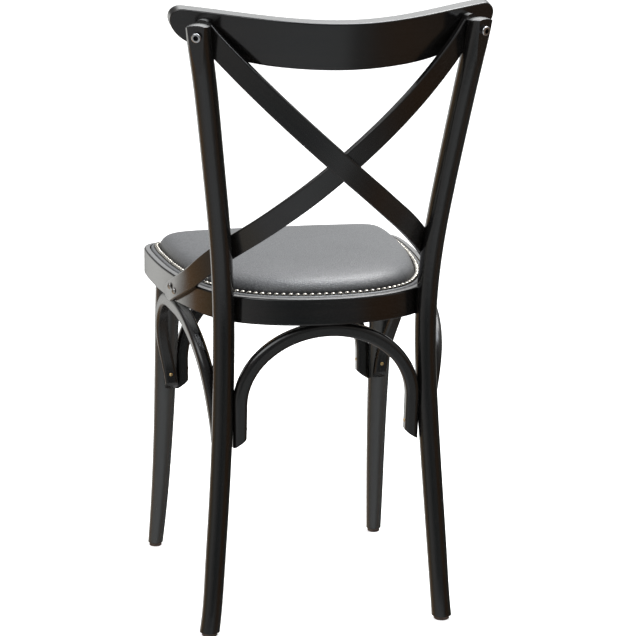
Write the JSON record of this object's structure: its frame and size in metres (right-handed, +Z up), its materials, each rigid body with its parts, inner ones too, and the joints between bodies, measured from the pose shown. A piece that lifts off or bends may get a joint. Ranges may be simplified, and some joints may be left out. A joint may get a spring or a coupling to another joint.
{
  "type": "bentwood dining chair",
  "caption": "Bentwood dining chair with a curved crest rail, crossed back slats, arched leg braces and a padded leather seat edged with nails.",
  "frame": {"origin": "on the floor, at the middle of the box around the chair's plan", "axes": "+Z up from the floor; -Y is the way the sitter faces; +X is the sitter's left"},
  "size_m": [0.4422, 0.5316, 0.8811],
  "materials": {
    "lacquered_wood": "bent beech stained near-black under satin lacquer",
    "plywood": "raw birch plywood",
    "foam": "upholstery foam",
    "leather": "fine-grained dark grey leather with a soft sheen",
    "nickel_nails": "polished nickel",
    "bright_steel": "polished",
    "dark_steel": "black oxide",
    "brass": "dull",
    "zinc_steel": "zinc plated",
    "glide_plastic": "brown moulded plastic"
  },
  "bodies": {
    "root": {"crest_rail": "lacquered_wood", "back_post_left": "lacquered_wood", "back_post_right": "lacquered_wood", "cross_slat_rear": "lacquered_wood", "cross_slat_front": "lacquered_wood", "seat_ring": "lacquered_wood", "front_leg_left": "lacquered_wood", "front_leg_right": "lacquered_wood", "arch_back": "lacquered_wood", "arch_front": "lacquered_wood", "arch_left": "lacquered_wood", "arch_right": "lacquered_wood", "seat_panel": "plywood", "seat_foam": "foam", "seat_cover": "leather", "upholstery_nails": "nickel_nails", "glides": "glide_plastic", "back_bolts": "bright_steel", "rail_inserts": "brass", "slat_end_screws": "dark_steel", "arch_end_screws": "brass", "arch_crown_screws": "zinc_steel", "post_bolts": "zinc_steel", "post_washers": "zinc_steel", "panel_screws": "zinc_steel"}
  },
  "joints": []
}
